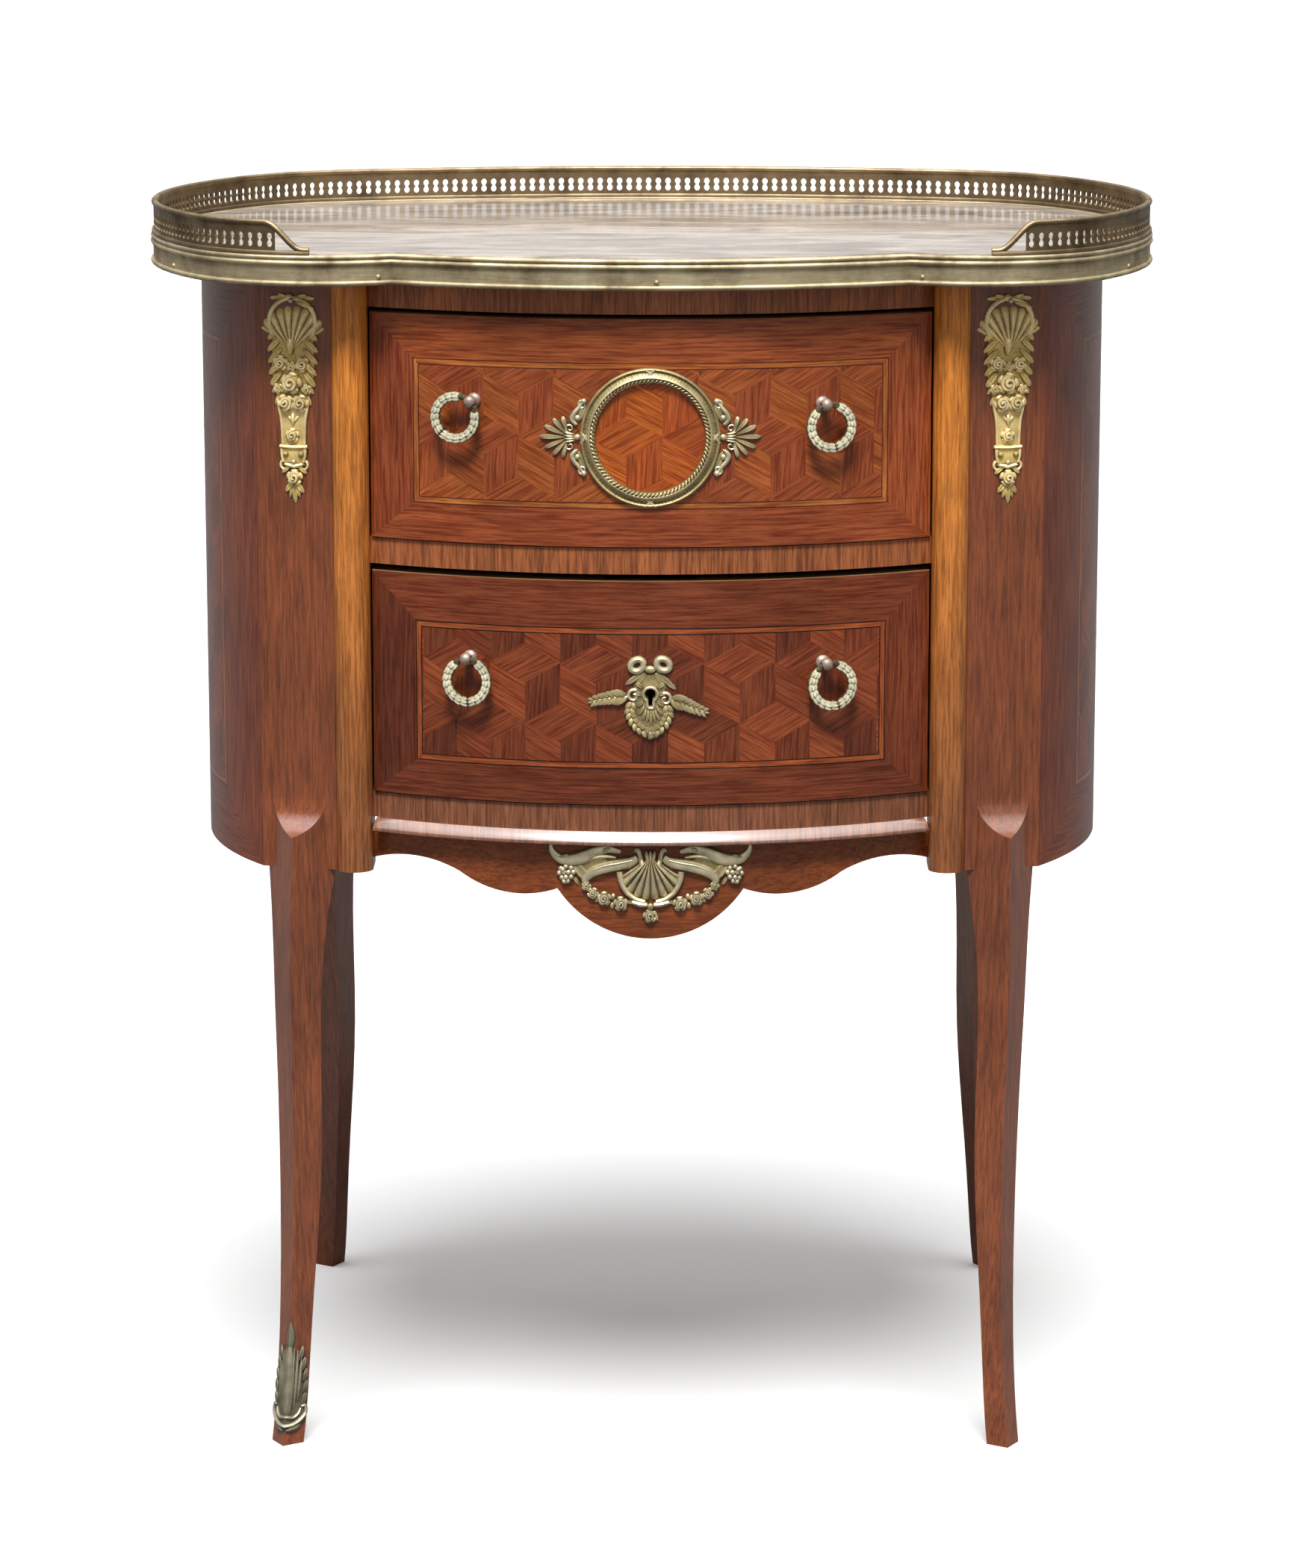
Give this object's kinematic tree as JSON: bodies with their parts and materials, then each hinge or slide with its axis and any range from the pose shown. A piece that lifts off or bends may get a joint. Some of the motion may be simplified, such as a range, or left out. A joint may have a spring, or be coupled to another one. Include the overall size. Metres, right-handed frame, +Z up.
{
  "type": "nightstand",
  "caption": "Small oval nightstand on slender cabriole legs with bowed parquetry drawers, ring pulls, gilt mounts and a marble top in a brass gallery.",
  "frame": {"origin": "on the floor under the middle of the oval rim", "axes": "+X to the right seen from the front, +Y to the back, +Z up"},
  "size_m": [0.62, 0.4139, 0.7495],
  "materials": {
    "leg_wood": "gloss",
    "side_veneer": "gloss",
    "column_wood": "gloss",
    "rail_veneer": "gloss",
    "drawer_veneer": "gloss",
    "inner_wood": "matte",
    "marble": "polished",
    "rim_brass": "satin",
    "gilt_bronze": "satin",
    "dark_bronze": "satin",
    "lock_iron": "matte"
  },
  "bodies": {
    "carcass": {"apron_mount": "gilt_bronze", "back_panel": "inner_wood", "bottom_board": "inner_wood", "bottom_moulding": "rail_veneer", "bottom_rail": "rail_veneer", "drawer_guides": "inner_wood", "drawer_runners": "inner_wood", "drawer_stops": "inner_wood", "dust_board": "inner_wood", "front_apron": "rail_veneer", "front_left_leg": "leg_wood", "front_right_leg": "leg_wood", "left_chute": "gilt_bronze", "left_column": "column_wood", "left_gallery": "rim_brass", "left_sabot": "dark_bronze", "left_side_panel": "inner_wood", "left_side_veneer": "side_veneer", "marble_top": "marble", "middle_rail": "rail_veneer", "mount_pins": "gilt_bronze", "rear_left_leg": "leg_wood", "rear_right_leg": "leg_wood", "right_chute": "gilt_bronze", "right_column": "column_wood", "right_gallery": "rim_brass", "right_side_panel": "inner_wood", "right_side_veneer": "side_veneer", "rim_moulding": "rim_brass", "rim_nails": "rim_brass", "top_board": "inner_wood", "top_rail": "rail_veneer"},
    "upper_drawer": {"upper_drawer_veneer": "drawer_veneer", "upper_drawer_front": "inner_wood", "upper_drawer_left_side": "inner_wood", "upper_drawer_right_side": "inner_wood", "upper_drawer_back": "inner_wood", "upper_drawer_bottom": "inner_wood", "medallion_frame": "gilt_bronze", "medallion_pins": "gilt_bronze", "upper_ring_studs": "gilt_bronze", "upper_ring_nuts": "lock_iron"},
    "lower_drawer": {"lower_drawer_veneer": "drawer_veneer", "lower_drawer_front": "inner_wood", "lower_drawer_left_side": "inner_wood", "lower_drawer_right_side": "inner_wood", "lower_drawer_back": "inner_wood", "lower_drawer_bottom": "inner_wood", "keyhole_escutcheon": "gilt_bronze", "escutcheon_pins": "gilt_bronze", "lower_ring_studs": "gilt_bronze", "lower_ring_nuts": "lock_iron", "lock_case": "lock_iron", "lock_screws": "lock_iron"},
    "upper_left_ring_pull": {"upper_left_ring": "gilt_bronze"},
    "upper_right_ring_pull": {"upper_right_ring": "gilt_bronze"},
    "lower_left_ring_pull": {"lower_left_ring": "gilt_bronze"},
    "lower_right_ring_pull": {"lower_right_ring": "gilt_bronze"},
    "lock_bolt": {"lock_bolt": "lock_iron"}
  },
  "joints": [
    {"name": "upper_drawer_slide", "type": "slide", "parent": "carcass", "child": "upper_drawer", "axis": [0, -1, 0], "range_m": [0, 0.215]},
    {"name": "lower_drawer_slide", "type": "slide", "parent": "carcass", "child": "lower_drawer", "axis": [0, -1, 0], "range_m": [0, 0.215]},
    {"name": "upper_left_ring_swing", "type": "hinge", "parent": "upper_drawer", "child": "upper_left_ring_pull", "pos_m": [-0.10673, -0.18235, 0.64282], "axis": [-0.6983, 0.2174, 0.682], "range_deg": [0, 100]},
    {"name": "upper_right_ring_swing", "type": "hinge", "parent": "upper_drawer", "child": "upper_right_ring_pull", "pos_m": [0.10404, -0.18318, 0.64098], "axis": [-0.9322, -0.2835, -0.225], "range_deg": [0, 100]},
    {"name": "lower_left_ring_swing", "type": "hinge", "parent": "lower_drawer", "child": "lower_left_ring_pull", "pos_m": [-0.11012, -0.18127, 0.48805], "axis": [-0.9499, 0.3083, -0.0523], "range_deg": [0, 100]},
    {"name": "lower_right_ring_swing", "type": "hinge", "parent": "lower_drawer", "child": "lower_right_ring_pull", "pos_m": [0.10511, -0.18285, 0.48539], "axis": [-0.9188, -0.2824, -0.2756], "range_deg": [0, 100]},
    {"name": "lock_bolt_slide", "type": "slide", "parent": "lower_drawer", "child": "lock_bolt", "axis": [0, 0, 1], "range_m": [0, 0.007]}
  ]
}
